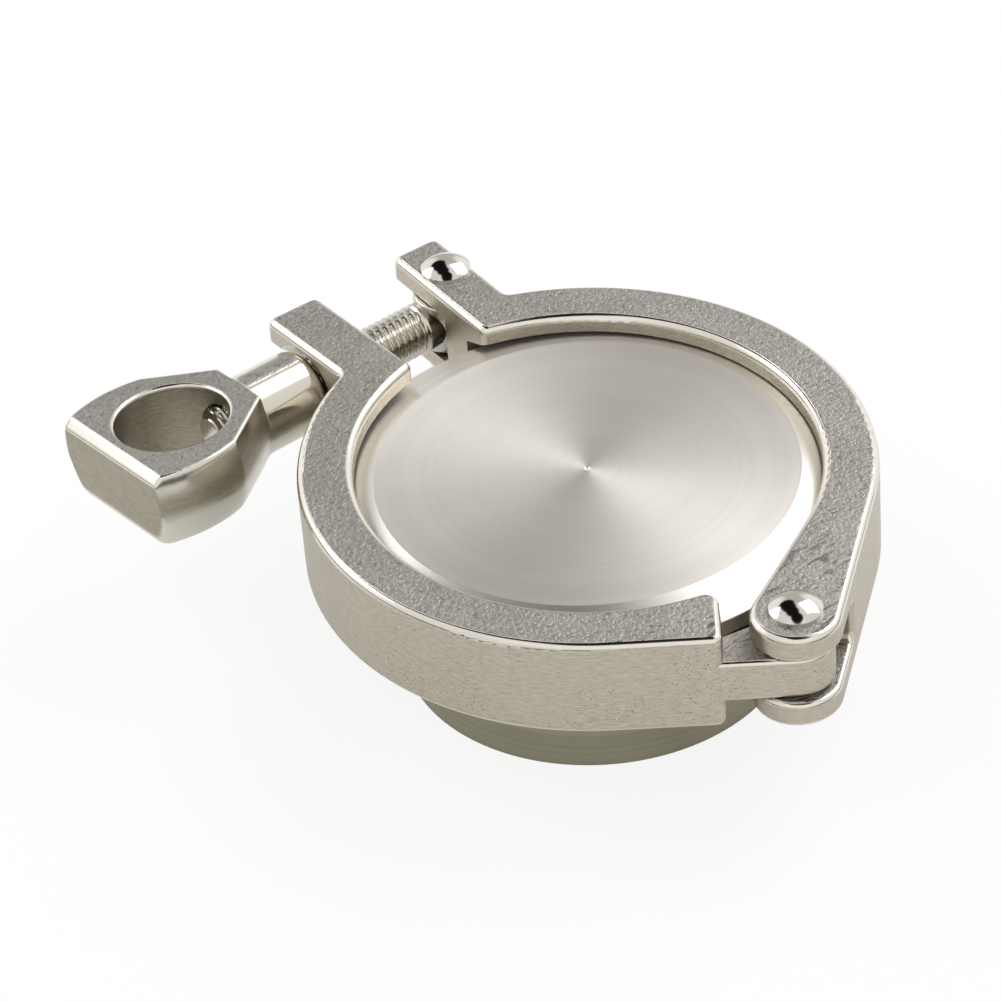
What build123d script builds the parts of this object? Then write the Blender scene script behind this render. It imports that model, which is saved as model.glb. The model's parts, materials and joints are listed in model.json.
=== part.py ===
"""Single-pin sanitary clamp closing a tube ferrule with a blank end cap.

Two cast jaws are hinged on a rivet.  Their 20 degree groove pulls the flanges of
the ferrule and of the blank cap together over a gasket.  A swing bolt, riveted
into the fork of one jaw, drops into the open slot of the other, and an eye nut
draws the jaws closed.

Millimetres.  The origin is the centre of the ferrule's weld end, +Z runs up the
tube axis, -Y points to the hinge, +Y to the bolt, and the nut lies on -X.
"""
import os
from math import acos, atan2, cos, degrees, radians, sin, sqrt, tan

from build123d import *

# Clamped stack: ferrule, gasket and blank cap
tube_diameter = 70.0
tube_wall = 2.0
ferrule_length = 30.0
flange_diameter = 91.0
flange_rim = 3.0
flange_angle = 20.0
ferrule_neck_fillet = 1.5
gasket_thickness = 2.0
bead_radius = 1.5
bead_inset = 4.6
bead_clearance = 0.05
gasket_rim_inset = 0.5
cap_flat_diameter = 74.7
cap_edge_round = 0.3
centre_dimple_radius = 0.55
centre_dimple_depth = 0.35

# Cast jaws: a ring of even width, each struck from its own centre
clamp_height = 19.3
jaw_width = 9.8
jaw_back = 4.2
jaw_offset = 3.0
groove_clearance = 0.3
groove_depth_clearance = 0.4
jaw_edge_round = 1.4
lip_corner_round = 2.4
end_corner_round = 1.6

# Hinge
pin_side = 0.8
pin_outset = 2.9
tongue_thickness = 8.2
tongue_radius = 6.5
tongue_edge_round = 1.0
ear_radius = 7.8
ear_gap = 0.5
ear_edge_round = 1.0
jaw_end_room = 4.6
ear_slot_room = 4.0
ear_slot_round = 2.0
rivet_diameter = 6.3
rivet_head_overhang = 1.45
rivet_head_height = 2.4
rivet_head_edge = 0.7
running_clearance = 0.05

# Lugs
lug_slot = 10.7
lug_splay = 2.0
slot_lug_face = 5.5
slot_lug_width = 11.4
slot_lug_reach = 18.2
fork_lug_face = 6.9
fork_lug_width = 10.1
fork_lug_reach = 18.7
fork_slot_clearance = 0.6
lug_corner_round = 1.8
lug_root_round = 1.5

# Swing bolt
pivot_x = 14.6
pivot_outset = 8.6
bolt_lean = 2.3
bolt_diameter = 9.4
bolt_show = 2.8
bolt_end_chamfer = 0.8
eye_diameter = 13.0
eye_side_gap = 0.3
eye_edge_round = 0.6

# Eye nut, from its nose: barrel, shoulders, then the head around the eye
nose_round = 2.6
barrel_wall = 3.1
barrel_length = 14.2
neck_inset = 1.2
shoulder_length = 11.6
head_rise = 6.8
head_fall = 10.6
nut_thickness = 16.0
nut_roll = 5.0
eye_hole_diameter = 20.8
eye_side_wall = 5.6
eye_end_wall = 3.6
eye_hole_round = 0.6
shoulder_inset = 1.0
end_inset = 2.3
under_inset = 2.2
side_bulge = 1.0
end_bevel = 1.6
seat_sphere_radius = 21.0
seat_depth = 1.8
seat_gap = 0.28

# Worked-out sizes
tube_radius = tube_diameter / 2
bore_radius = tube_radius - tube_wall
flange_radius = flange_diameter / 2
cap_flat_radius = cap_flat_diameter / 2
slope = tan(radians(flange_angle))
cap_bottom = ferrule_length + gasket_thickness
mid_height = ferrule_length + gasket_thickness / 2
bead_circle = flange_radius - bead_inset
half_height = clamp_height / 2
groove_radius = flange_radius + jaw_offset + groove_depth_clearance
jaw_outer_radius = groove_radius + jaw_back
jaw_inner_radius = jaw_outer_radius - jaw_width
slot_jaw_centre = (jaw_offset, 0.0)
fork_jaw_centre = (-jaw_offset, 0.0)
pin = (pin_side, -jaw_outer_radius - pin_outset)
rivet_radius = rivet_diameter / 2
rivet_head_radius = rivet_radius + rivet_head_overhang
jaw_end_setback = ear_radius + jaw_end_room
ear_slot_setback = tongue_radius + ear_slot_room
slot_lug_end = jaw_outer_radius + slot_lug_reach
fork_lug_end = jaw_outer_radius + fork_lug_reach
lug_lean = tan(radians(lug_splay))
pivot_y = jaw_outer_radius + pivot_outset
pivot = (pivot_x, pivot_y)
barrel_radius = bolt_diameter / 2 + barrel_wall
neck_width = 2 * (barrel_radius - neck_inset)
head_width = eye_hole_diameter + 2 * eye_side_wall
shoulder_place = barrel_length + shoulder_length
widest_place = shoulder_place + head_rise
nut_length = widest_place + head_fall
eye_hole_place = nut_length - eye_end_wall - eye_hole_diameter / 2
seat_face = pivot_x + slot_lug_face + pivot_y * lug_lean + slot_lug_width
seat_centre = seat_face + seat_sphere_radius - seat_depth
nose_reach = seat_sphere_radius - nose_round - seat_gap
nose_flat_radius = barrel_radius - nose_round
nose_start = seat_centre - nose_round - sqrt(nose_reach ** 2 - nose_flat_radius ** 2)
bolt_length = nose_start + eye_hole_place - eye_hole_diameter / 2 + bolt_show
far = 4 * jaw_outer_radius


def ring_profile(points):
    """A ring turned about the tube axis from its section points (radius, height)."""
    section = make_face(Plane.XZ * Polyline(*points, close=True))
    return revolve(section, Axis.Z)


def bead_ring(height, radius):
    """A round-sectioned ring on the gasket bead's circle."""
    return Pos(0, 0, height) * Torus(bead_circle, radius)


def make_ferrule():
    neck_height = ferrule_length - flange_rim - (flange_radius - tube_radius) * slope
    body = ring_profile([
        (bore_radius, 0),
        (tube_radius, 0),
        (tube_radius, neck_height),
        (flange_radius, ferrule_length - flange_rim),
        (flange_radius, ferrule_length),
        (bore_radius, ferrule_length),
    ])
    neck = body.edges().filter_by(GeomType.CIRCLE).filter_by_position(
        Axis.Z, neck_height - 0.01, neck_height + 0.01)
    body = fillet(neck, ferrule_neck_fillet)
    return body - bead_ring(ferrule_length, bead_radius + bead_clearance)


def make_gasket():
    outer = flange_radius - gasket_rim_inset
    ring = ring_profile([
        (bore_radius, ferrule_length),
        (outer, ferrule_length),
        (outer, cap_bottom),
        (bore_radius, cap_bottom),
    ])
    return ring + bead_ring(ferrule_length, bead_radius) + bead_ring(cap_bottom, bead_radius)


def make_end_cap():
    taper_height = (flange_radius - cap_flat_radius) * slope
    cap_top = cap_bottom + flange_rim + taper_height
    body = ring_profile([
        (0, cap_bottom),
        (flange_radius, cap_bottom),
        (flange_radius, cap_bottom + flange_rim),
        (cap_flat_radius, cap_top),
        (0, cap_top),
    ])
    rims = body.edges().filter_by(GeomType.CIRCLE).filter_by_position(
        Axis.Z, cap_bottom + flange_rim - 0.01, cap_top + 0.01)
    body = fillet(rims, cap_edge_round)
    dimple = Pos(0, 0, cap_top - centre_dimple_depth / 2) * Cone(
        0, centre_dimple_radius, centre_dimple_depth)
    return body - dimple - bead_ring(cap_bottom, bead_radius + bead_clearance)


def unit(angle):
    """Unit vector at an angle in radians from +X."""
    return (cos(angle), sin(angle))


def along(start, direction, distance):
    """The point a distance from start along a unit direction."""
    return (start[0] + direction[0] * distance, start[1] + direction[1] * distance)


def tangent_points(centre, radius, end, end_radius, side):
    """Ends of a line touching two circles.

    A negative end radius gives the line that crosses between them.  Side is +1
    for the anticlockwise side of the line of centres, and -1 for the other.
    """
    dx = end[0] - centre[0]
    dy = end[1] - centre[1]
    swing = acos((radius - end_radius) / sqrt(dx * dx + dy * dy))
    normal = unit(atan2(dy, dx) + side * swing)
    return along(centre, normal, radius), along(end, normal, end_radius)


def polygon(*points):
    return make_face(Polyline(*points, close=True))


def half_plane(point, direction):
    """A very large face that covers everything ahead of a point in a direction."""
    turn = degrees(atan2(direction[1], direction[0]))
    return Pos(*point) * Rot(0, 0, turn) * Pos(far / 2, 0) * Rectangle(far, 2 * far)


def round_corner(plan, place, radius):
    """Round the corner of a plan that lies nearest to a place."""
    corner = plan.vertices().sort_by_distance((place[0], place[1], 0))[0]
    return fillet(corner, radius)


def round_lug(plan, side, face, width, end):
    """Round the two outer corners of a lug, and the inner corner at its root."""
    tip = side * (face + end * lug_lean)
    plan = round_corner(plan, (tip, end), lug_corner_round)
    plan = round_corner(plan, (tip + side * width, end), lug_corner_round)
    root = jaw_outer_radius
    plan = round_corner(plan, (side * (face + root * lug_lean + width), root), lug_root_round)
    return round_corner(plan, (side * face, jaw_inner_radius), lug_corner_round)


def prism(plan, bottom, top, edge_round):
    """An upright plate from its plan, with its top and bottom outlines rounded."""
    plate = Pos(0, 0, bottom) * extrude(plan, top - bottom)
    rims = plate.edges().filter_by_position(Axis.Z, bottom - 0.01, bottom + 0.01)
    rims += plate.edges().filter_by_position(Axis.Z, top - 0.01, top + 0.01)
    return fillet(rims, edge_round)


def wall_direction(side, radius):
    """Direction of a jaw's straight outer wall, from the ring to the hinge."""
    start, end = tangent_points((-side * jaw_offset, 0), jaw_outer_radius, pin, radius, side)
    run = sqrt((end[0] - start[0]) ** 2 + (end[1] - start[1]) ** 2)
    return ((end[0] - start[0]) / run, (end[1] - start[1]) / run)


def lug_plan(side, face, width, end):
    """Straight lug beside the gap, leaning away from it by the splay angle."""
    root = jaw_inner_radius - jaw_offset
    root_face = face + root * lug_lean + width
    return polygon(
        (side * face, 0),
        (side * (face + end * lug_lean), end),
        (side * (face + end * lug_lean + width), end),
        (side * root_face, root),
        (side * root_face, 0),
    )


def ring_and_wall(centre, side, radius):
    """Full disc of a jaw plus the straight wall that runs on to its hinge boss."""
    start, end = tangent_points(centre, jaw_outer_radius, pin, radius, side)
    return Pos(*centre) * Circle(jaw_outer_radius) + polygon(centre, start, end, pin)


def gap_side(side, face):
    """Everything on the far side of a lug's inner face, above the middle."""
    return polygon(
        (side * face, 0),
        (side * (face + far * lug_lean), far),
        (-side * far, far),
        (-side * far, 0),
    )


def groove(centre):
    """Material-free space of the V-groove, turned about the jaw's own centre."""
    contact = flange_radius + jaw_offset
    rim = gasket_thickness / 2 + flange_rim + groove_clearance
    inner = jaw_inner_radius - 2 * jaw_width
    lip = rim + (contact - inner) * slope
    bottom = rim - (groove_radius - contact) * slope
    tool = ring_profile([
        (0, -lip),
        (inner, -lip),
        (groove_radius, -bottom),
        (groove_radius, bottom),
        (inner, lip),
        (0, lip),
    ])
    return Pos(centre[0], centre[1], mid_height) * tool


def rivet_hole(place, clearance):
    return Pos(*place, mid_height) * Cylinder(rivet_radius + clearance, 2 * clamp_height)


def bolt_frame():
    """Frame at the bolt's pivot, its X running along the bolt to the nut."""
    return Pos(*pivot, mid_height) * Rot(0, 0, 180 + bolt_lean)


def seat_dish():
    """Shallow ball seat that the nut's nose is drawn into."""
    return bolt_frame() * Pos(seat_centre, 0, 0) * Sphere(seat_sphere_radius)


def make_slot_jaw():
    """Left jaw: slotted lug, and the hinge tongue at the other end."""
    centre = slot_jaw_centre
    travel = wall_direction(-1, tongue_radius)
    body_end = along(pin, travel, -jaw_end_setback)
    plan = ring_and_wall(centre, -1, tongue_radius)
    plan += lug_plan(-1, slot_lug_face, slot_lug_width, slot_lug_end)
    plan -= Pos(*centre) * Circle(jaw_inner_radius)
    plan -= half_plane(body_end, travel)
    plan -= gap_side(-1, slot_lug_face)
    plan = round_lug(plan, -1, slot_lug_face, slot_lug_width, slot_lug_end)
    side_way = (travel[1], -travel[0])
    plan = round_corner(plan, along(body_end, side_way, jaw_width), end_corner_round)
    plan = round_corner(plan, along(body_end, side_way, -jaw_width), lip_corner_round)
    body = prism(plan, mid_height - half_height, mid_height + half_height, jaw_edge_round)

    bar_length = jaw_end_setback + jaw_width
    bar = Pos(*pin) * Rot(0, 0, degrees(atan2(travel[1], travel[0])))
    bar = bar * Pos(-bar_length / 2, 0) * Rectangle(bar_length, 2 * tongue_radius)
    tongue_plan = bar - Pos(*centre) * Circle(groove_radius)
    tongue_plan = (tongue_plan & ring_and_wall(centre, -1, tongue_radius))
    tongue_plan += Pos(*pin) * Circle(tongue_radius)
    half_tongue = tongue_thickness / 2
    tongue = prism(tongue_plan, mid_height - half_tongue, mid_height + half_tongue,
                   tongue_edge_round)

    slot = bolt_frame() * Rot(0, 90, 0) * Cylinder(lug_slot / 2, far)
    slot += bolt_frame() * Pos(0, -far / 2, 0) * Box(far, far, lug_slot)
    slot -= Pos(far / 2, 0, mid_height) * Box(far, 2 * far, far)
    jaw = body + tongue - groove(centre) - slot - seat_dish()
    return jaw - rivet_hole(pin, running_clearance)


def cut_ear_slot(jaw, travel):
    """Slot between the hinge ears, with the ears' inner edges rounded."""
    height = tongue_thickness + 2 * ear_gap
    bottom = mid_height - height / 2
    top = mid_height + height / 2
    slot_end = along(pin, travel, -ear_slot_setback)
    slot = Pos(0, 0, bottom) * extrude(half_plane(slot_end, travel), height)
    across = (travel[1], -travel[0], 0)
    ends = slot.edges().filter_by(Axis((0, 0, 0), across)).sort_by(Axis((0, 0, 0), (*travel, 0)))
    slot = fillet(ends[:2], ear_slot_round)
    jaw -= slot
    rims = jaw.edges().filter_by_position(Axis.Z, bottom - 0.01, bottom + 0.01)
    rims += jaw.edges().filter_by_position(Axis.Z, top - 0.01, top + 0.01)
    return fillet(rims, ear_edge_round)


def make_fork_jaw():
    """Right jaw: forked lug for the bolt's eye, and the two hinge ears."""
    centre = fork_jaw_centre
    travel = wall_direction(1, ear_radius)
    lip, boss = tangent_points(centre, jaw_inner_radius, pin, -ear_radius, 1)
    plan = ring_and_wall(centre, 1, ear_radius)
    plan += lug_plan(1, fork_lug_face, fork_lug_width, fork_lug_end)
    plan -= Pos(*centre) * Circle(jaw_inner_radius)
    plan -= polygon(centre, lip, boss, pin, (0, -far), (-far, -far), (-far, 0))
    plan -= gap_side(1, fork_lug_face)
    plan += Pos(*pin) * Circle(ear_radius)
    plan = round_lug(plan, 1, fork_lug_face, fork_lug_width, fork_lug_end)
    jaw = prism(plan, mid_height - half_height, mid_height + half_height, jaw_edge_round)

    jaw = cut_ear_slot(jaw, travel)

    fork_bottom = pivot_y - eye_diameter / 2 - fork_slot_clearance
    jaw -= Pos(0, fork_bottom + far / 2, mid_height) * Box(far, far, lug_slot)
    jaw -= groove(centre)
    jaw -= rivet_hole(pin, 0)
    return jaw - rivet_hole(pivot, 0)


def make_rivet(place):
    """Solid rivet with a domed head on each side of the clamp."""
    crown = rivet_head_height - rivet_head_edge
    sphere = (rivet_head_radius ** 2 + crown ** 2) / (2 * crown)
    cut = Pos(0, 0, crown - sphere) * Sphere(sphere)
    dome = cut & Pos(0, 0, crown / 2) * Cylinder(rivet_head_radius, crown)
    edge = Pos(0, 0, -rivet_head_edge / 2) * Cylinder(rivet_head_radius, rivet_head_edge)
    head = Pos(0, 0, half_height + rivet_head_edge) * (dome + edge)
    shank = Cylinder(rivet_radius, clamp_height)
    return Pos(*place, mid_height) * (shank + head + mirror(head, Plane.XY))


def make_swing_bolt():
    eye_height = lug_slot - 2 * eye_side_gap
    eye = Cylinder(eye_diameter / 2, eye_height)
    eye = fillet(eye.edges().filter_by(GeomType.CIRCLE), eye_edge_round)
    shank = Cylinder(bolt_diameter / 2, bolt_length)
    shank = chamfer(shank.edges().sort_by(Axis.Z)[-1], bolt_end_chamfer)
    shank = Pos(bolt_length / 2, 0, 0) * Rot(0, 90, 0) * shank
    hole = Cylinder(rivet_radius + running_clearance, 2 * eye_height)
    return bolt_frame() * (eye + shank - hole)


def head_section(place, width):
    """Cross-section of the nut's head: flat top, bulging sides and a narrower underside."""
    top = width / 2
    under = top - under_inset
    half_thick = nut_thickness / 2
    outline = Polyline((top, half_thick), (-top, half_thick))
    outline += ThreePointArc((-top, half_thick), (-top - side_bulge, 0), (-under, -half_thick))
    outline += Polyline((-under, -half_thick), (under, -half_thick))
    outline += ThreePointArc((under, -half_thick), (top + side_bulge, 0), (top, half_thick))
    return Plane(origin=(place, 0, 0), x_dir=(0, 1, 0), z_dir=(1, 0, 0)) * make_face(outline)


def make_eye_nut():
    head = loft([
        head_section(shoulder_place, head_width - 2 * shoulder_inset),
        head_section(widest_place, head_width),
        head_section(nut_length, head_width - 2 * end_inset),
    ])
    end_edges = head.edges().filter_by_position(Axis.X, nut_length - 0.01, nut_length + 0.01)
    end_edges = end_edges.sort_by(Axis.Z)
    head = chamfer([end_edges[0], end_edges[-1]], end_bevel)
    shoulder = loft([
        head_section(barrel_length, neck_width),
        head_section(shoulder_place, head_width - 2 * shoulder_inset),
    ])
    barrel = Cylinder(barrel_radius, shoulder_place)
    barrel = fillet(barrel.edges().sort_by(Axis.Z)[0], nose_round)
    barrel = Pos(shoulder_place / 2, 0, 0) * Rot(0, 90, 0) * barrel
    hole = Cylinder(eye_hole_diameter / 2, 2 * nut_thickness)
    thread = Pos(eye_hole_place / 2, 0, 0) * Rot(0, 90, 0) * Cylinder(
        bolt_diameter / 2 + running_clearance, eye_hole_place)
    nut = head + shoulder + barrel - Pos(eye_hole_place, 0, 0) * hole
    half_thick = nut_thickness / 2
    mouths = nut.edges().filter_by(GeomType.CIRCLE)
    mouths = mouths.filter_by(lambda edge: abs(abs(edge.center().Z) - half_thick) < 0.01)
    nut = fillet(mouths, eye_hole_round)
    return bolt_frame() * Pos(nose_start, 0, 0) * Rot(nut_roll, 0, 0) * (nut - thread)


parts = {
    "ferrule": make_ferrule(),
    "gasket": make_gasket(),
    "end_cap": make_end_cap(),
    "fork_jaw": make_fork_jaw(),
    "slot_jaw": make_slot_jaw(),
    "hinge_rivet": make_rivet(pin),
    "bolt_rivet": make_rivet(pivot),
    "swing_bolt": make_swing_bolt(),
    "eye_nut": make_eye_nut(),
}

os.makedirs("parts", exist_ok=True)
for name, solid in parts.items():
    export_step(solid, f"parts/{name}.step")
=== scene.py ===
import json
from math import cos, pi, radians, sin

import bmesh
import bpy
from mathutils import Matrix, Vector


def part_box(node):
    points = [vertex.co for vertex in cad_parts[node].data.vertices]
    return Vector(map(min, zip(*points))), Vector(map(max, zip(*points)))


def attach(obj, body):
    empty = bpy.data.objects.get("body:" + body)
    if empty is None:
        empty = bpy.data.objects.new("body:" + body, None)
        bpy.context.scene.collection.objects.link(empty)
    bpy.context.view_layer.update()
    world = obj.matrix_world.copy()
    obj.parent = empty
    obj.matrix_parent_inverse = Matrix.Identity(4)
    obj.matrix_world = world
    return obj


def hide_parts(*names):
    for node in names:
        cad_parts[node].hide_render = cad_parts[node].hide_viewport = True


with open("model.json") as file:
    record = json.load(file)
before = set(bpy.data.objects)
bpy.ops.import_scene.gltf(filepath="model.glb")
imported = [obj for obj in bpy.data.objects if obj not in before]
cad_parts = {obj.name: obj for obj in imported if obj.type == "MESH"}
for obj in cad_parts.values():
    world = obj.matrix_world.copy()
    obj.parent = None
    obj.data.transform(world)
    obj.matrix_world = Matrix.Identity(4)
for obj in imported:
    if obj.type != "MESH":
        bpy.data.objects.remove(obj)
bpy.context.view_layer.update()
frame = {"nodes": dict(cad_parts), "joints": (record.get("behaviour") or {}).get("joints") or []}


# ---- Ferrule -----------------------------------------------------------------
# The weld ferrule is a stainless 316L turning: a thin tube stub with a tapered
# clamp flange at its upper end.  It stands on its squared, turned weld end.

MM = 0.001
BAND_MARKS = 7  # tool marks in one slightly darker or lighter band
SMEAR = 22      # mm, patches where the metal was wiped or handled
nodes = frame["nodes"]


def linear(hex_colour):
    """Linear RGBA of an sRGB hex colour."""
    channels = [int(hex_colour[i:i + 2], 16) / 255 for i in (1, 3, 5)]
    return [c / 12.92 if c <= 0.04045 else ((c + 0.055) / 1.055) ** 2.4 for c in channels] + [1.0]


def add_node(tree, kind, settings=None, links=None):
    """Add a shader node, set its values, and link sockets or other nodes' first outputs into it."""
    node = tree.nodes.new(kind)
    for key, value in (settings or {}).items():
        if key == "stops":
            elements = node.color_ramp.elements
            for element, (position, colour) in zip(elements, (value[0], value[-1])):
                element.position, element.color = position, linear(colour)
            for position, colour in value[1:-1]:
                elements.new(position).color = linear(colour)
        elif isinstance(key, int) or key in node.inputs:
            node.inputs[key].default_value = value
        else:
            setattr(node, key, value)
    for key, source in (links or {}).items():
        if isinstance(source, bpy.types.Node):
            source = next(output for output in source.outputs if output.enabled)
        tree.links.new(source, node.inputs[key])
    return node


def new_material(name):
    """Empty material and its node tree."""
    material = bpy.data.materials.new(name)
    material.use_nodes = True
    material.node_tree.nodes.clear()
    return material, material.node_tree


def turned_stainless(name, tones, mark_spacing, rough, mark_depth):
    """Lathe-turned stainless: fine circular tool marks that stretch every highlight."""
    material, tree = new_material(name)
    place = add_node(tree, "ShaderNodeTexCoord").outputs["Object"]
    across = add_node(tree, "ShaderNodeVectorMath", {"operation": "MULTIPLY", 1: (1, 1, 0)},
                      {0: place})
    radius = add_node(tree, "ShaderNodeVectorMath", {"operation": "LENGTH"}, {0: across})
    height = add_node(tree, "ShaderNodeSeparateXYZ", {}, {"Vector": place}).outputs["Z"]
    section = add_node(tree, "ShaderNodeCombineXYZ", {}, {"X": radius, "Y": height})
    marks = add_node(tree, "ShaderNodeTexNoise",
                     {"Scale": 1 / (mark_spacing * MM), "Detail": 3.0, "Roughness": 0.7},
                     {"Vector": section})
    bands = add_node(tree, "ShaderNodeTexNoise",
                     {"Scale": 1 / (BAND_MARKS * mark_spacing * MM), "Detail": 3.0},
                     {"Vector": section})
    smears = add_node(tree, "ShaderNodeTexNoise", {"Scale": 1 / (SMEAR * MM), "Detail": 4.0},
                      {"Vector": place})
    blend = add_node(tree, "ShaderNodeMix", {0: 0.5}, {2: bands, 3: smears})
    colour = add_node(tree, "ShaderNodeValToRGB", {"stops": tones}, {"Fac": blend})
    bump = add_node(tree, "ShaderNodeBump", {"Strength": 1.0, "Distance": mark_depth * MM},
                    {"Height": marks})
    tangent = add_node(tree, "ShaderNodeTangent", {"direction_type": "RADIAL", "axis": "Z"})
    shader = add_node(tree, "ShaderNodeBsdfPrincipled",
                      {"Metallic": 1.0, "Roughness": rough, "Anisotropic": 0.65,
                       "Anisotropic Rotation": 0.25},
                      {"Base Color": colour, "Normal": bump, "Tangent": tangent})
    add_node(tree, "ShaderNodeOutputMaterial", {}, {"Surface": shader})
    return material


# Turned 316L tube: fine rings, which give the stub a dull, warm grey sheen.
# Its tones are set darker than the metal's own, as painted shade under the clamp.
ferrule_steel_and_shade = turned_stainless("turned_stainless_tube", [(0.35, "#97937f"), (0.65, "#aca895")],
                                 mark_spacing=0.12, rough=0.36, mark_depth=0.002)
nodes["ferrule"].data.materials[0] = ferrule_steel_and_shade


# ---- Gasket ------------------------------------------------------------------
# A moulded EPDM ring with a bead on each face, squeezed between the flanges.
# Only its dull black edge shows, in the gap beside the hinge.

MOULD_GRAIN = 0.3  # mm

# Moulded EPDM: black rubber with the mould's fine grain, which keeps it from shining.
rubber, tree = new_material("moulded_epdm")
rubber_place = add_node(tree, "ShaderNodeTexCoord").outputs["Object"]
grain = add_node(tree, "ShaderNodeTexNoise", {"Scale": 1 / (MOULD_GRAIN * MM), "Detail": 2.0},
                 {"Vector": rubber_place})
rubber_bump = add_node(tree, "ShaderNodeBump", {"Strength": 0.4, "Distance": 0.01 * MM},
                       {"Height": grain})
rubber_shader = add_node(tree, "ShaderNodeBsdfPrincipled",
                         {"Base Color": linear("#161514"), "Roughness": 0.62},
                         {"Normal": rubber_bump})
add_node(tree, "ShaderNodeOutputMaterial", {}, {"Surface": rubber_shader})
nodes["gasket"].data.materials[0] = rubber


# ---- Blank end cap -----------------------------------------------------------
# A solid stainless disc, faced on the lathe from rim to centre, where the tool
# leaves its pip.  It lies on the gasket, and the jaws' groove draws its rim down.

# Faced 316L: rings that fan the light out from the centre.  Real ones are about 0.1 mm
# apart, too fine to show, so they are drawn three times as coarse.
cap_steel = turned_stainless("faced_stainless_cap", [(0.35, "#e6e2dc"), (0.65, "#f2efea")],
                             mark_spacing=0.30, rough=0.36, mark_depth=0.004)
nodes["end_cap"].data.materials[0] = cap_steel


# ---- Cast jaws ---------------------------------------------------------------
# The two jaws are investment cast stainless, pinned together at the hinge.
# Tumbling leaves satin flats, streaked and pitted walls, and polished round edges, whose light tone
# is partly painted highlight.

PATCH = 11                 # mm, blotches left by tumbling
LEATHER = 0.8              # mm, grain of the skin
LAP = 1.7                  # mm, breadth of a lap of the casting
LAP_STRETCH = 0.28         # a lap's breadth over its length
DEEP_LAPS = 6              # mm from the hinge pin, up to which the laps are deepest
LAP_FADE = 16              # mm over which they then fade
FAR_LAPS = 0.12            # share of their depth that the laps keep elsewhere
STREAK = 1.6               # mm, length of a streak
STREAK_SQUEEZE = 7.0       # a streak's length over its height
PIT_SPACING = 0.62         # mm
SKIN_RELIEF = 0.2          # mm
CREASE_DEPTH = 0.5         # share of the skin's relief
WALL_DEPTH = 0.35          # share of the skin's relief
FLAT_LEAN = (0.955, 0.99)  # cosines of the lean, between a round edge and a flat
EDGE_ROUGH, FLAT_ROUGH, WALL_ROUGH = 0.14, 0.42, 0.36
FLECK_SHADE, CREASE_SHADE, PIT_SHADE = 0.4, 0.6, 0.75

# Values of each pattern between which its marks start and are full.
FLECKS = (0.43, 0.36)
CREASES = (0.47, 0.37)
PITS = (0.24, 0.10)
POROUS = (0.42, 0.62)

joints = {joint["name"]: joint for joint in frame["joints"]}
hinge_y = joints["jaw_open"]["pos_m"][1]


def satin_flat(tree, place, patches, tones):
    """Tone and height of a flat: a leathery skin with dark flecks, and laps near the hinge, whose
    creases are darkened as painted shade.
    """
    leather = add_node(tree, "ShaderNodeTexNoise",
                       {"Scale": 1 / (LEATHER * MM), "Detail": 3.0, "Roughness": 0.6,
                        "Distortion": 0.8}, {"Vector": place})
    blend = add_node(tree, "ShaderNodeMix", {0: 0.5}, {2: patches, 3: leather})
    tone = add_node(tree, "ShaderNodeValToRGB", {"stops": tones}, {"Fac": blend})
    flecks = add_node(tree, "ShaderNodeMapRange",
                      {"interpolation_type": "SMOOTHSTEP", 1: FLECKS[0], 2: FLECKS[1],
                       4: FLECK_SHADE}, {0: leather})
    tone = add_node(tree, "ShaderNodeMix", {"data_type": "RGBA", 7: linear("#6b6762")},
                    {0: flecks, 6: tone})
    drawn = add_node(tree, "ShaderNodeMapping", {"Scale": (LAP_STRETCH, 1.0, 1.0)},
                     {"Vector": place})
    laps = add_node(tree, "ShaderNodeTexNoise",
                    {"Scale": 1 / (LAP * MM), "Detail": 4.0, "Roughness": 0.6,
                     "Distortion": 1.0}, {"Vector": drawn})
    creases = add_node(tree, "ShaderNodeMapRange",
                       {"interpolation_type": "SMOOTHSTEP", 1: CREASES[0], 2: CREASES[1]},
                       {0: laps})
    along = add_node(tree, "ShaderNodeSeparateXYZ", {}, {"Vector": place}).outputs["Y"]
    near_hinge = add_node(tree, "ShaderNodeMapRange",
                          {"interpolation_type": "SMOOTHSTEP", 1: hinge_y + DEEP_LAPS * MM,
                           2: hinge_y + (DEEP_LAPS + LAP_FADE) * MM, 3: 1.0, 4: FAR_LAPS},
                          {0: along})
    creases = add_node(tree, "ShaderNodeMath", {"operation": "MULTIPLY"},
                       {0: creases, 1: near_hinge})
    # Darkening the creases is painted shade inside them; their dent comes from the height.
    shade = add_node(tree, "ShaderNodeMath", {"operation": "MULTIPLY", 1: CREASE_SHADE},
                     {0: creases})
    tone = add_node(tree, "ShaderNodeMix", {"data_type": "RGBA", 7: linear("#3f3b37")},
                    {0: shade, 6: tone})
    height = add_node(tree, "ShaderNodeMath", {"operation": "MULTIPLY_ADD", 1: -CREASE_DEPTH},
                      {0: creases, 2: leather})
    return tone, height


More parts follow.
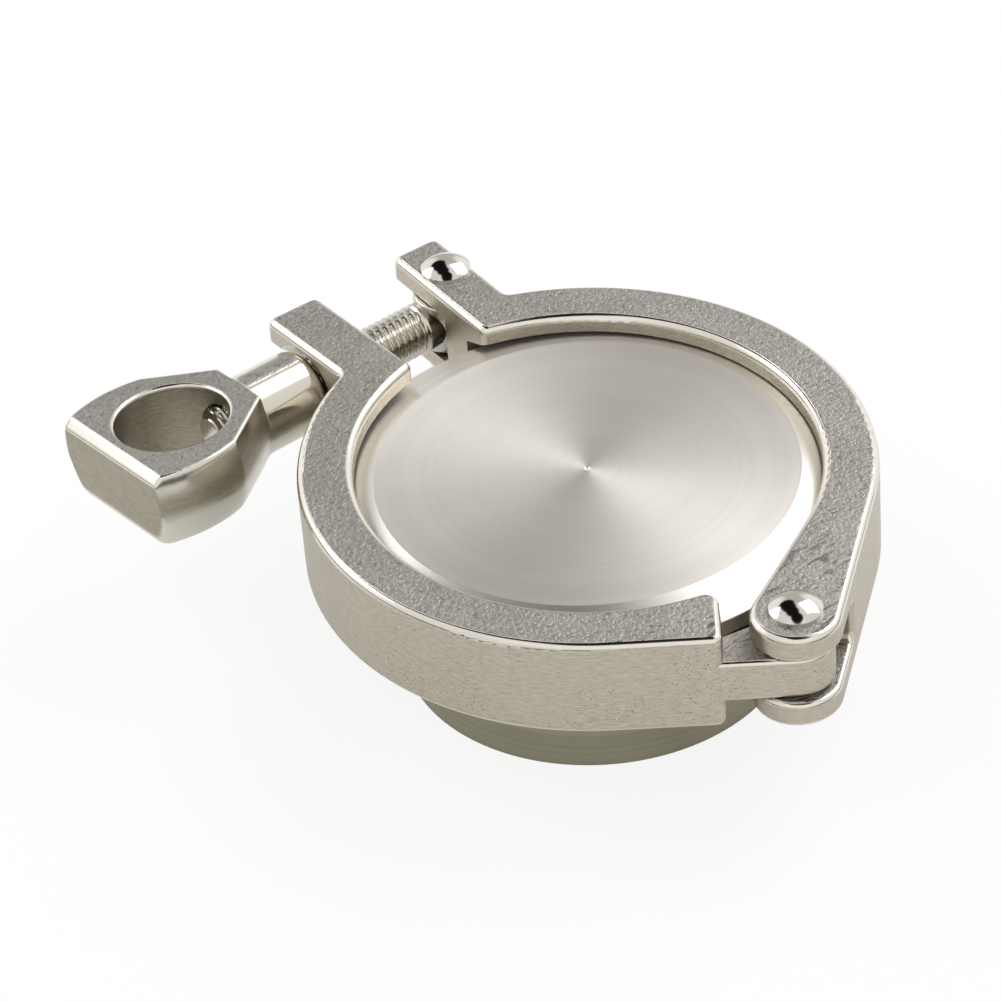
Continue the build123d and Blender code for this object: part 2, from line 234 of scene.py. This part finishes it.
def streaked_wall(tree, place, patches, tones):
    """Tone and height of a wall: fine level streaks, with pits where the casting was porous,
    darkened as painted shade.
    """
    drawn = add_node(tree, "ShaderNodeMapping", {"Scale": (1.0, 1.0, STREAK_SQUEEZE)},
                     {"Vector": place})
    streaks = add_node(tree, "ShaderNodeTexNoise",
                       {"Scale": 1 / (STREAK * MM), "Detail": 5.0, "Roughness": 0.65},
                       {"Vector": drawn})
    tone = add_node(tree, "ShaderNodeValToRGB", {"stops": tones}, {"Fac": streaks})
    cells = add_node(tree, "ShaderNodeTexVoronoi", {"Scale": 1 / (PIT_SPACING * MM)},
                     {"Vector": place})
    pits = add_node(tree, "ShaderNodeMapRange",
                    {"interpolation_type": "SMOOTHSTEP", 1: PITS[0], 2: PITS[1]}, {0: cells})
    porous = add_node(tree, "ShaderNodeMapRange",
                      {"interpolation_type": "SMOOTHSTEP", 1: POROUS[0], 2: POROUS[1]},
                      {0: patches})
    pits = add_node(tree, "ShaderNodeMath", {"operation": "MULTIPLY"}, {0: pits, 1: porous})
    # Darkening the pits is painted shade inside them; their dent comes from the height.
    shade = add_node(tree, "ShaderNodeMath", {"operation": "MULTIPLY", 1: PIT_SHADE}, {0: pits})
    tone = add_node(tree, "ShaderNodeMix", {"data_type": "RGBA", 7: linear("#4a453d")},
                    {0: shade, 6: tone})
    height = add_node(tree, "ShaderNodeMath", {"operation": "SUBTRACT"}, {0: streaks, 1: pits})
    height = add_node(tree, "ShaderNodeMath", {"operation": "MULTIPLY", 1: WALL_DEPTH},
                      {0: height})
    return tone, height


def cast_stainless(name, flat_tones, wall_tones_with_painted_light, edge_polish_and_highlight, upright, wall_lean):
    """Tumbled casting whose finish and painted light depend on how far a face leans from the flat.
    """
    material, tree = new_material(name)
    surface = add_node(tree, "ShaderNodeTexCoord")
    place = surface.outputs["Object"]
    facing = add_node(tree, "ShaderNodeVectorMath", {"operation": "DOT_PRODUCT", 1: upright},
                      {0: surface.outputs["Normal"]})
    lean = add_node(tree, "ShaderNodeMath", {"operation": "ABSOLUTE"}, {0: facing})
    flat = add_node(tree, "ShaderNodeMapRange",
                    {"interpolation_type": "SMOOTHSTEP", 1: FLAT_LEAN[0], 2: FLAT_LEAN[1]},
                    {0: lean})
    wall = add_node(tree, "ShaderNodeMapRange",
                    {"interpolation_type": "SMOOTHSTEP", 1: wall_lean[0], 2: wall_lean[1],
                     3: 1.0, 4: 0.0}, {0: lean})
    patches = add_node(tree, "ShaderNodeTexNoise", {"Scale": 1 / (PATCH * MM), "Detail": 3.0},
                       {"Vector": place})
    flat_tone, flat_height = satin_flat(tree, place, patches, flat_tones)
    wall_tone, wall_height = streaked_wall(tree, place, patches, wall_tones_with_painted_light)
    # Edges take a lighter tone, partly real polish and partly painted highlight; walls take their
    # own tones, which carry painted reflection on the jaws and painted shade on the nut.
    tone = add_node(tree, "ShaderNodeMix", {"data_type": "RGBA", 6: linear(edge_polish_and_highlight)},
                    {0: flat, 7: flat_tone})
    tone = add_node(tree, "ShaderNodeMix", {"data_type": "RGBA"}, {0: wall, 6: tone, 7: wall_tone})
    rough = add_node(tree, "ShaderNodeMix", {2: EDGE_ROUGH, 3: FLAT_ROUGH}, {0: flat})
    rough = add_node(tree, "ShaderNodeMix", {3: WALL_ROUGH}, {0: wall, 2: rough})
    relief = add_node(tree, "ShaderNodeMix", {2: 0.0}, {0: flat, 3: flat_height})
    relief = add_node(tree, "ShaderNodeMix", {}, {0: wall, 2: relief, 3: wall_height})
    bump = add_node(tree, "ShaderNodeBump", {"Strength": 1.0, "Distance": SKIN_RELIEF * MM},
                    {"Height": relief})
    shader = add_node(tree, "ShaderNodeBsdfPrincipled", {"Metallic": 1.0},
                      {"Base Color": tone, "Roughness": rough, "Normal": bump})
    add_node(tree, "ShaderNodeOutputMaterial", {}, {"Surface": shader})
    return material


# Cast, tumbled stainless: grey flats; walls that blur what they mirror, with a warmer, lighter tone
# that is painted reflection; and polished edges whose light tone is partly painted highlight, a
# light line round every outline.
cast_skin_and_painted_light = cast_stainless("cast_tumbled_stainless", [(0.35, "#a8a49f"), (0.65, "#bab6b1")],
                           [(0.35, "#afa799"), (0.65, "#c7c0b2")], "#dedad0",
                           upright=(0, 0, 1), wall_lean=(0.05, 0.42))
for name in ("fork_jaw", "slot_jaw"):
    nodes[name].data.materials[0] = cast_skin_and_painted_light


# ---- Rivets ------------------------------------------------------------------
# Two stainless rivets with bright domed heads: one is the hinge, the other
# carries the bolt's eye.

# Polished stainless: smooth enough for the domes to mirror the whole room.
bright, tree = new_material("polished_stainless")
bright_shader = add_node(tree, "ShaderNodeBsdfPrincipled",
                         {"Base Color": linear("#d2cfc9"), "Metallic": 1.0, "Roughness": 0.08})
add_node(tree, "ShaderNodeOutputMaterial", {}, {"Surface": bright_shader})
for name in ("hinge_rivet", "bolt_rivet"):
    nodes[name].data.materials[0] = bright


# ---- Swing bolt --------------------------------------------------------------
# A stainless eye bolt with a rolled metric thread from beside its eye to its
# end, which stands a little way into the hole of the nut.  Sizes are in mm.

SHANK_TURN = radians(182.3)  # from +X, so that the shank leans 2.3 degrees off -X
BOLT_RADIUS = 4.7
BOLT_LENGTH = 54.53
BOLT_START = 2.0
THREAD_START = 7.2
PITCH = 1.5
THREAD_DEPTH = 0.78
FLANK_SLOPE = 3.4     # share of the depth gained per share of the pitch
GROOVE_REACH = 1.35   # more than the full depth, so that the groove has a flat floor
TURN_STEPS = 10
THREAD_SPOKES = 48
END_ROUND = 0.8
EYE_RADIUS = 6.5
EYE_HALF_HEIGHT = 5.05
EYE_HOLE = 3.2
EYE_ROUND = 0.6
ROUND_STEPS = 4
EYE_SPOKES = 64
SHARP_EDGE = radians(38)
bolt_matrix = (Matrix.Translation(joints["bolt_swing"]["pos_m"])
               @ Matrix.Rotation(SHANK_TURN, 4, "Z") @ Matrix.Scale(MM, 4))


def grid_mesh(rows, closed=False):
    """Faces that join equal rings of points, with flat ends unless the rings close up."""
    count = len(rows[0])
    points = [point for row in rows for point in row]
    faces = []
    for row in range(len(rows) if closed else len(rows) - 1):
        here = row * count
        there = (row + 1) % len(rows) * count
        for step in range(count):
            following = (step + 1) % count
            faces.append((here + step, here + following, there + following, there + step))
    if not closed:
        faces.append(tuple(reversed(range(count))))
        faces.append(tuple(range(len(points) - count, len(points))))
    return points, faces


def thread_rows():
    """Rings of points along the shank, whose radius follows the helix of the thread."""
    rows = []
    steps = int((BOLT_LENGTH - BOLT_START) / (PITCH / TURN_STEPS))
    for index in range(steps + 1):
        place = BOLT_START + (BOLT_LENGTH - BOLT_START) * index / steps
        fade = min(1.0, max(0.0, (place - THREAD_START) / PITCH))
        end_fall = END_ROUND * max(0.0, 1 - (BOLT_LENGTH - place) / END_ROUND)
        row = []
        for spoke in range(THREAD_SPOKES):
            angle = 2 * pi * spoke / THREAD_SPOKES
            phase = (place / PITCH + spoke / THREAD_SPOKES) % 1.0
            groove = min(1.0, max(0.0, GROOVE_REACH - abs(phase - 0.5) * FLANK_SLOPE))
            radius = BOLT_RADIUS - end_fall - fade * THREAD_DEPTH * groove
            row.append((place, radius * cos(angle), radius * sin(angle)))
        rows.append(row)
    return rows


def eye_rows():
    """Rings of points round the eye's section, with rounded outer corners."""
    section = [(EYE_HOLE, -EYE_HALF_HEIGHT)]
    for corner in (-1, 1):
        for step in range(ROUND_STEPS + 1):
            angle = pi / 2 * step / ROUND_STEPS
            turn = (sin(angle), cos(angle)) if corner < 0 else (cos(angle), sin(angle))
            section.append((EYE_RADIUS - EYE_ROUND + EYE_ROUND * turn[0],
                            corner * (EYE_HALF_HEIGHT - EYE_ROUND + EYE_ROUND * turn[1])))
    section.append((EYE_HOLE, EYE_HALF_HEIGHT))
    angles = [2 * pi * spoke / EYE_SPOKES for spoke in range(EYE_SPOKES)]
    return [[(radius * cos(angle), radius * sin(angle), height) for radius, height in section]
            for angle in angles]


def mesh_object(name, parts, matrix, material):
    """One object from several lists of points and faces, smooth except at sharp edges."""
    points, faces = [], []
    for part_points, part_faces in parts:
        faces += [tuple(index + len(points) for index in face) for face in part_faces]
        points += part_points
    mesh = bpy.data.meshes.new(name)
    mesh.from_pydata([matrix @ Vector(point) for point in points], [], faces)
    outward = bmesh.new()
    outward.from_mesh(mesh)
    bmesh.ops.recalc_face_normals(outward, faces=outward.faces)
    outward.to_mesh(mesh)
    outward.free()
    mesh.shade_smooth()
    mesh.set_sharp_from_angle(angle=SHARP_EDGE)
    mesh.materials.append(material)
    made = bpy.data.objects.new(name, mesh)
    bpy.context.collection.objects.link(made)
    return made


MOTTLE = 0.2  # mm

# Rolled stainless: the dies burnish the flanks, so that each turn carries a bright line,
# with a faint mottling on it.
rolled, tree = new_material("rolled_thread_stainless")
thread_place = add_node(tree, "ShaderNodeTexCoord").outputs["Object"]
mottling = add_node(tree, "ShaderNodeTexNoise", {"Scale": 1 / (MOTTLE * MM), "Detail": 4.0},
                    {"Vector": thread_place})
rolled_tone = add_node(tree, "ShaderNodeValToRGB",
                       {"stops": [(0.35, "#b3aea2"), (0.6, "#d9d6cd")]}, {"Fac": mottling})
rolled_shader = add_node(tree, "ShaderNodeBsdfPrincipled", {"Metallic": 1.0, "Roughness": 0.2},
                         {"Base Color": rolled_tone})
add_node(tree, "ShaderNodeOutputMaterial", {}, {"Surface": rolled_shader})
threaded_bolt = mesh_object("threaded_bolt",
                            [grid_mesh(thread_rows()), grid_mesh(eye_rows(), closed=True)],
                            bolt_matrix, rolled)
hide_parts("swing_bolt")
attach(threaded_bolt, "swing_bolt")


# ---- Eye nut -----------------------------------------------------------------
# A cast stainless wing: a barrel threaded for the bolt, and a thick head with a
# turning eye.  Tumbling rounds its corners, most of all those of its lower half.

NUT_ROLL = radians(5)
NUT_GRID = 0.25        # mm, spacing of the fine grid that is worn round
NUT_WELD = 0.002       # mm, gap below which the solid's corners are one
DEEP_WEAR_SPAN = 6.0   # mm below the bolt's axis at which the deep wear is full
DEEP_WEAR = {"factor": 0.8, "iterations": 90, "vertex_group": "lower"}
WEAR = {"factor": 0.5, "iterations": 9}


def add_modifier(made, kind, settings):
    """Add a modifier and set its values."""
    modifier = made.modifiers.new(kind.lower(), kind)
    for key, value in settings.items():
        setattr(modifier, key, value)


def apply_modifiers(made):
    """Make what an object's modifiers show its own mesh."""
    graph = bpy.context.evaluated_depsgraph_get()
    made.data = bpy.data.meshes.new_from_object(made.evaluated_get(graph))
    made.modifiers.clear()


def tumbled_copy(node, name, material, matrix):
    """Copy of a node's solid with every corner worn round, on an even fine grid."""
    made = bpy.data.objects.new(name, node.data.copy())
    bpy.context.collection.objects.link(made)
    made.data.transform(matrix.inverted() @ node.matrix_world)
    add_modifier(made, "WELD", {"merge_threshold": NUT_WELD})
    add_modifier(made, "REMESH", {"mode": "VOXEL", "voxel_size": NUT_GRID})
    apply_modifiers(made)
    lower = made.vertex_groups.new(name="lower")
    for point in made.data.vertices:
        share = min(1.0, -point.co.z / DEEP_WEAR_SPAN)
        if share > 0:
            lower.add([point.index], share, "REPLACE")
    add_modifier(made, "SMOOTH", DEEP_WEAR)
    add_modifier(made, "SMOOTH", WEAR)
    apply_modifiers(made)
    made.data.transform(matrix)
    made.data.shade_smooth()
    made.data.materials.clear()
    made.data.materials.append(material)
    return made


nut_matrix = bolt_matrix @ Matrix.Rotation(NUT_ROLL, 4, "X")
nut_up = (nut_matrix.to_3x3() @ Vector((0, 0, 1))).normalized()

# Cast, tumbled stainless, as on the jaws but more worn; its walls' darker tones are painted shade
# for the dark surroundings that the nut's sides mirror.
nut_skin_and_shade = cast_stainless("cast_tumbled_stainless_nut", [(0.35, "#a7a49f"), (0.65, "#b6b2ad")],
                          [(0.35, "#8f8a79"), (0.65, "#a8a292")], "#d8d4ca",
                          upright=tuple(nut_up), wall_lean=(0.04, 0.25))
worn_nut = tumbled_copy(nodes["eye_nut"], "worn_eye_nut", nut_skin_and_shade, nut_matrix)
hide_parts("eye_nut")
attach(worn_nut, "eye_nut")


# ---- Table top ---------------------------------------------------------------
# A matt white paper sheet, far larger than the clamp.  It keeps the clamp's
# shadow, and its white comes from its own colour and not from more light.

FLOOR_HALF = 3.0      # metres
WHITE_SHARE = 0.86    # share of plain white where the lens sees the sheet
GLOSSY_SHARE = 0.25   # share of plain white where the metal mirrors the sheet

# Matt white paper: no gloss, so that it shows as an even field.
paper, tree = new_material("white_paper")
paper_shader = add_node(tree, "ShaderNodeBsdfPrincipled",
                        {"Base Color": linear("#f6f6f6"), "Roughness": 0.9})
paper_white = add_node(tree, "ShaderNodeEmission", {"Color": linear("#ffffff"), "Strength": 1.0})
paper_ray = add_node(tree, "ShaderNodeLightPath")
mirrored = add_node(tree, "ShaderNodeMath", {"operation": "MULTIPLY", 1: GLOSSY_SHARE},
                    {0: paper_ray.outputs["Is Glossy Ray"]})
paper_seen = add_node(tree, "ShaderNodeMath", {"operation": "MULTIPLY_ADD", 1: WHITE_SHARE},
                      {0: paper_ray.outputs["Is Camera Ray"], 2: mirrored})
paper_mix = add_node(tree, "ShaderNodeMixShader", {},
                     {0: paper_seen, 1: paper_shader, 2: paper_white})
add_node(tree, "ShaderNodeOutputMaterial", {}, {"Surface": paper_mix})
floor_mesh = bpy.data.meshes.new("floor")
floor_mesh.from_pydata([(-FLOOR_HALF, -FLOOR_HALF, 0), (FLOOR_HALF, -FLOOR_HALF, 0),
                        (FLOOR_HALF, FLOOR_HALF, 0), (-FLOOR_HALF, FLOOR_HALF, 0)],
                       [], [(0, 1, 2, 3)])
floor_mesh.materials.append(paper)
floor = bpy.data.objects.new("floor", floor_mesh)
bpy.context.collection.objects.link(floor)


# ---- Lamps and room ----------------------------------------------------------
# Two square softboxes and a pale room light the clamp.  The room is dark below
# its walls, and a dark column leans over the clamp, as bright metal mirrors it.

LAMP_AIM = (0, 0, 0.03)
ROOM_STRENGTH = 1.18
FRONT = 33.7  # degrees, turn of the wall ahead of the lens, from +Y towards +X
ROOM_TONES = [(0.0, "#1e1d1c"), (0.07, "#2b2a28"), (0.13, "#e0dfdc"), (1.0, "#ecebe8")]

# Round patches of the room: turn, height, inner and outer radius in degrees, and tone.
ROOM_PATCHES = [
    (FRONT, 12, 35, 60, "#c3c1bd"),        # far wall, a little greyer
    (FRONT - 36, 16, 12, 28, "#ffffff"),   # window left of it
    (FRONT + 36, 16, 12, 28, "#ffffff"),   # window right of it
    (-43, 28, 10, 20, "#ffffff"),          # high window on the left
    (FRONT + 180, 47, 30, 38, "#f4f3f0"),  # pale wall behind the lens
    (10, 50, 13, 18, "#161514"),           # dark column, from its foot
    (5, 63, 13, 18, "#161514"),
    (-7, 79, 13, 18, "#161514"),
    (205, 78, 13, 18, "#161514"),          # and past the top of the room
]


def softbox(name, place, side, power):
    """Square area light that points at the clamp."""
    lamp = bpy.data.lights.new(name, "AREA")
    lamp.shape = "SQUARE"
    lamp.size = side
    lamp.energy = power
    lamp_object = bpy.data.objects.new(name, lamp)
    lamp_object.location = place
    aim = Vector(LAMP_AIM) - Vector(place)
    lamp_object.rotation_euler = aim.to_track_quat("-Z", "Y").to_euler()
    bpy.context.collection.objects.link(lamp_object)


def add_patch(tree, way, tone, patch):
    """Lay a round patch with a soft rim over the room's tone."""
    turn, height, inner, outer, patch_tone = patch
    axis = (sin(radians(turn)) * cos(radians(height)), cos(radians(turn)) * cos(radians(height)),
            sin(radians(height)))
    facing = add_node(tree, "ShaderNodeVectorMath", {"operation": "DOT_PRODUCT", 1: axis}, {0: way})
    inside = add_node(tree, "ShaderNodeMapRange",
                      {"interpolation_type": "SMOOTHSTEP", 1: cos(radians(outer)),
                       2: cos(radians(inner))}, {0: facing})
    return add_node(tree, "ShaderNodeMix", {"data_type": "RGBA", 7: linear(patch_tone)},
                    {0: inside, 6: tone})


softbox("softbox_left", place=(-0.47, 0.90, 0.72), side=0.6, power=3.2)
softbox("softbox_right", place=(0.80, 0.05, 0.92), side=0.75, power=5.0)

world = bpy.data.worlds.new("studio_room")
world.use_nodes = True
bpy.context.scene.world = world
tree = world.node_tree
tree.nodes.clear()
way = add_node(tree, "ShaderNodeTexCoord").outputs["Generated"]
climb = add_node(tree, "ShaderNodeSeparateXYZ", {}, {"Vector": way}).outputs["Z"]
room_tone = add_node(tree, "ShaderNodeValToRGB", {"stops": ROOM_TONES}, {"Fac": climb})
for patch in ROOM_PATCHES:
    room_tone = add_patch(tree, way, room_tone, patch)
room = add_node(tree, "ShaderNodeBackground", {"Strength": ROOM_STRENGTH}, {"Color": room_tone})
seen = add_node(tree, "ShaderNodeBackground", {"Color": linear("#ffffff"), "Strength": 1.0})
room_ray = add_node(tree, "ShaderNodeLightPath")
room_mix = add_node(tree, "ShaderNodeMixShader", {},
                    {0: room_ray.outputs["Is Camera Ray"], 1: room, 2: seen})
add_node(tree, "ShaderNodeOutputWorld", {}, {"Surface": room_mix})


# ---- Camera ------------------------------------------------------------------
# A long lens from the hinge side, above the nut, held a few degrees off level.
# It looks past the cap's centre by shares of the frame's width, aside and above.

AZIMUTH = radians(-FRONT)
ELEVATION = radians(38.23)
ROLL = radians(-4.7)
DISTANCE = 0.7717
FOCAL_LENGTH = 159.4
SENSOR = 36.0
ASIDE = 0.0866
ABOVE = 0.0322
cap_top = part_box("end_cap")[1].z

toward = Vector((sin(AZIMUTH) * cos(ELEVATION), -cos(AZIMUTH) * cos(ELEVATION), sin(ELEVATION)))
level = Vector((cos(AZIMUTH), sin(AZIMUTH), 0))
upright = toward.cross(level)
right = level * cos(ROLL) + upright * sin(ROLL)
up = upright * cos(ROLL) - level * sin(ROLL)
frame_width = DISTANCE * SENSOR / FOCAL_LENGTH
position = (Vector((0, 0, cap_top)) + toward * DISTANCE
            - right * ASIDE * frame_width - up * ABOVE * frame_width)

lens = bpy.data.cameras.new("camera")
lens.lens = FOCAL_LENGTH
lens.sensor_width = SENSOR
camera = bpy.data.objects.new("camera", lens)
camera.matrix_world = Matrix(((right.x, up.x, toward.x, position.x),
                              (right.y, up.y, toward.y, position.y),
                              (right.z, up.z, toward.z, position.z),
                              (0, 0, 0, 1)))
bpy.context.collection.objects.link(camera)
bpy.context.scene.camera = camera
bpy.context.scene.view_settings.view_transform = "Standard"
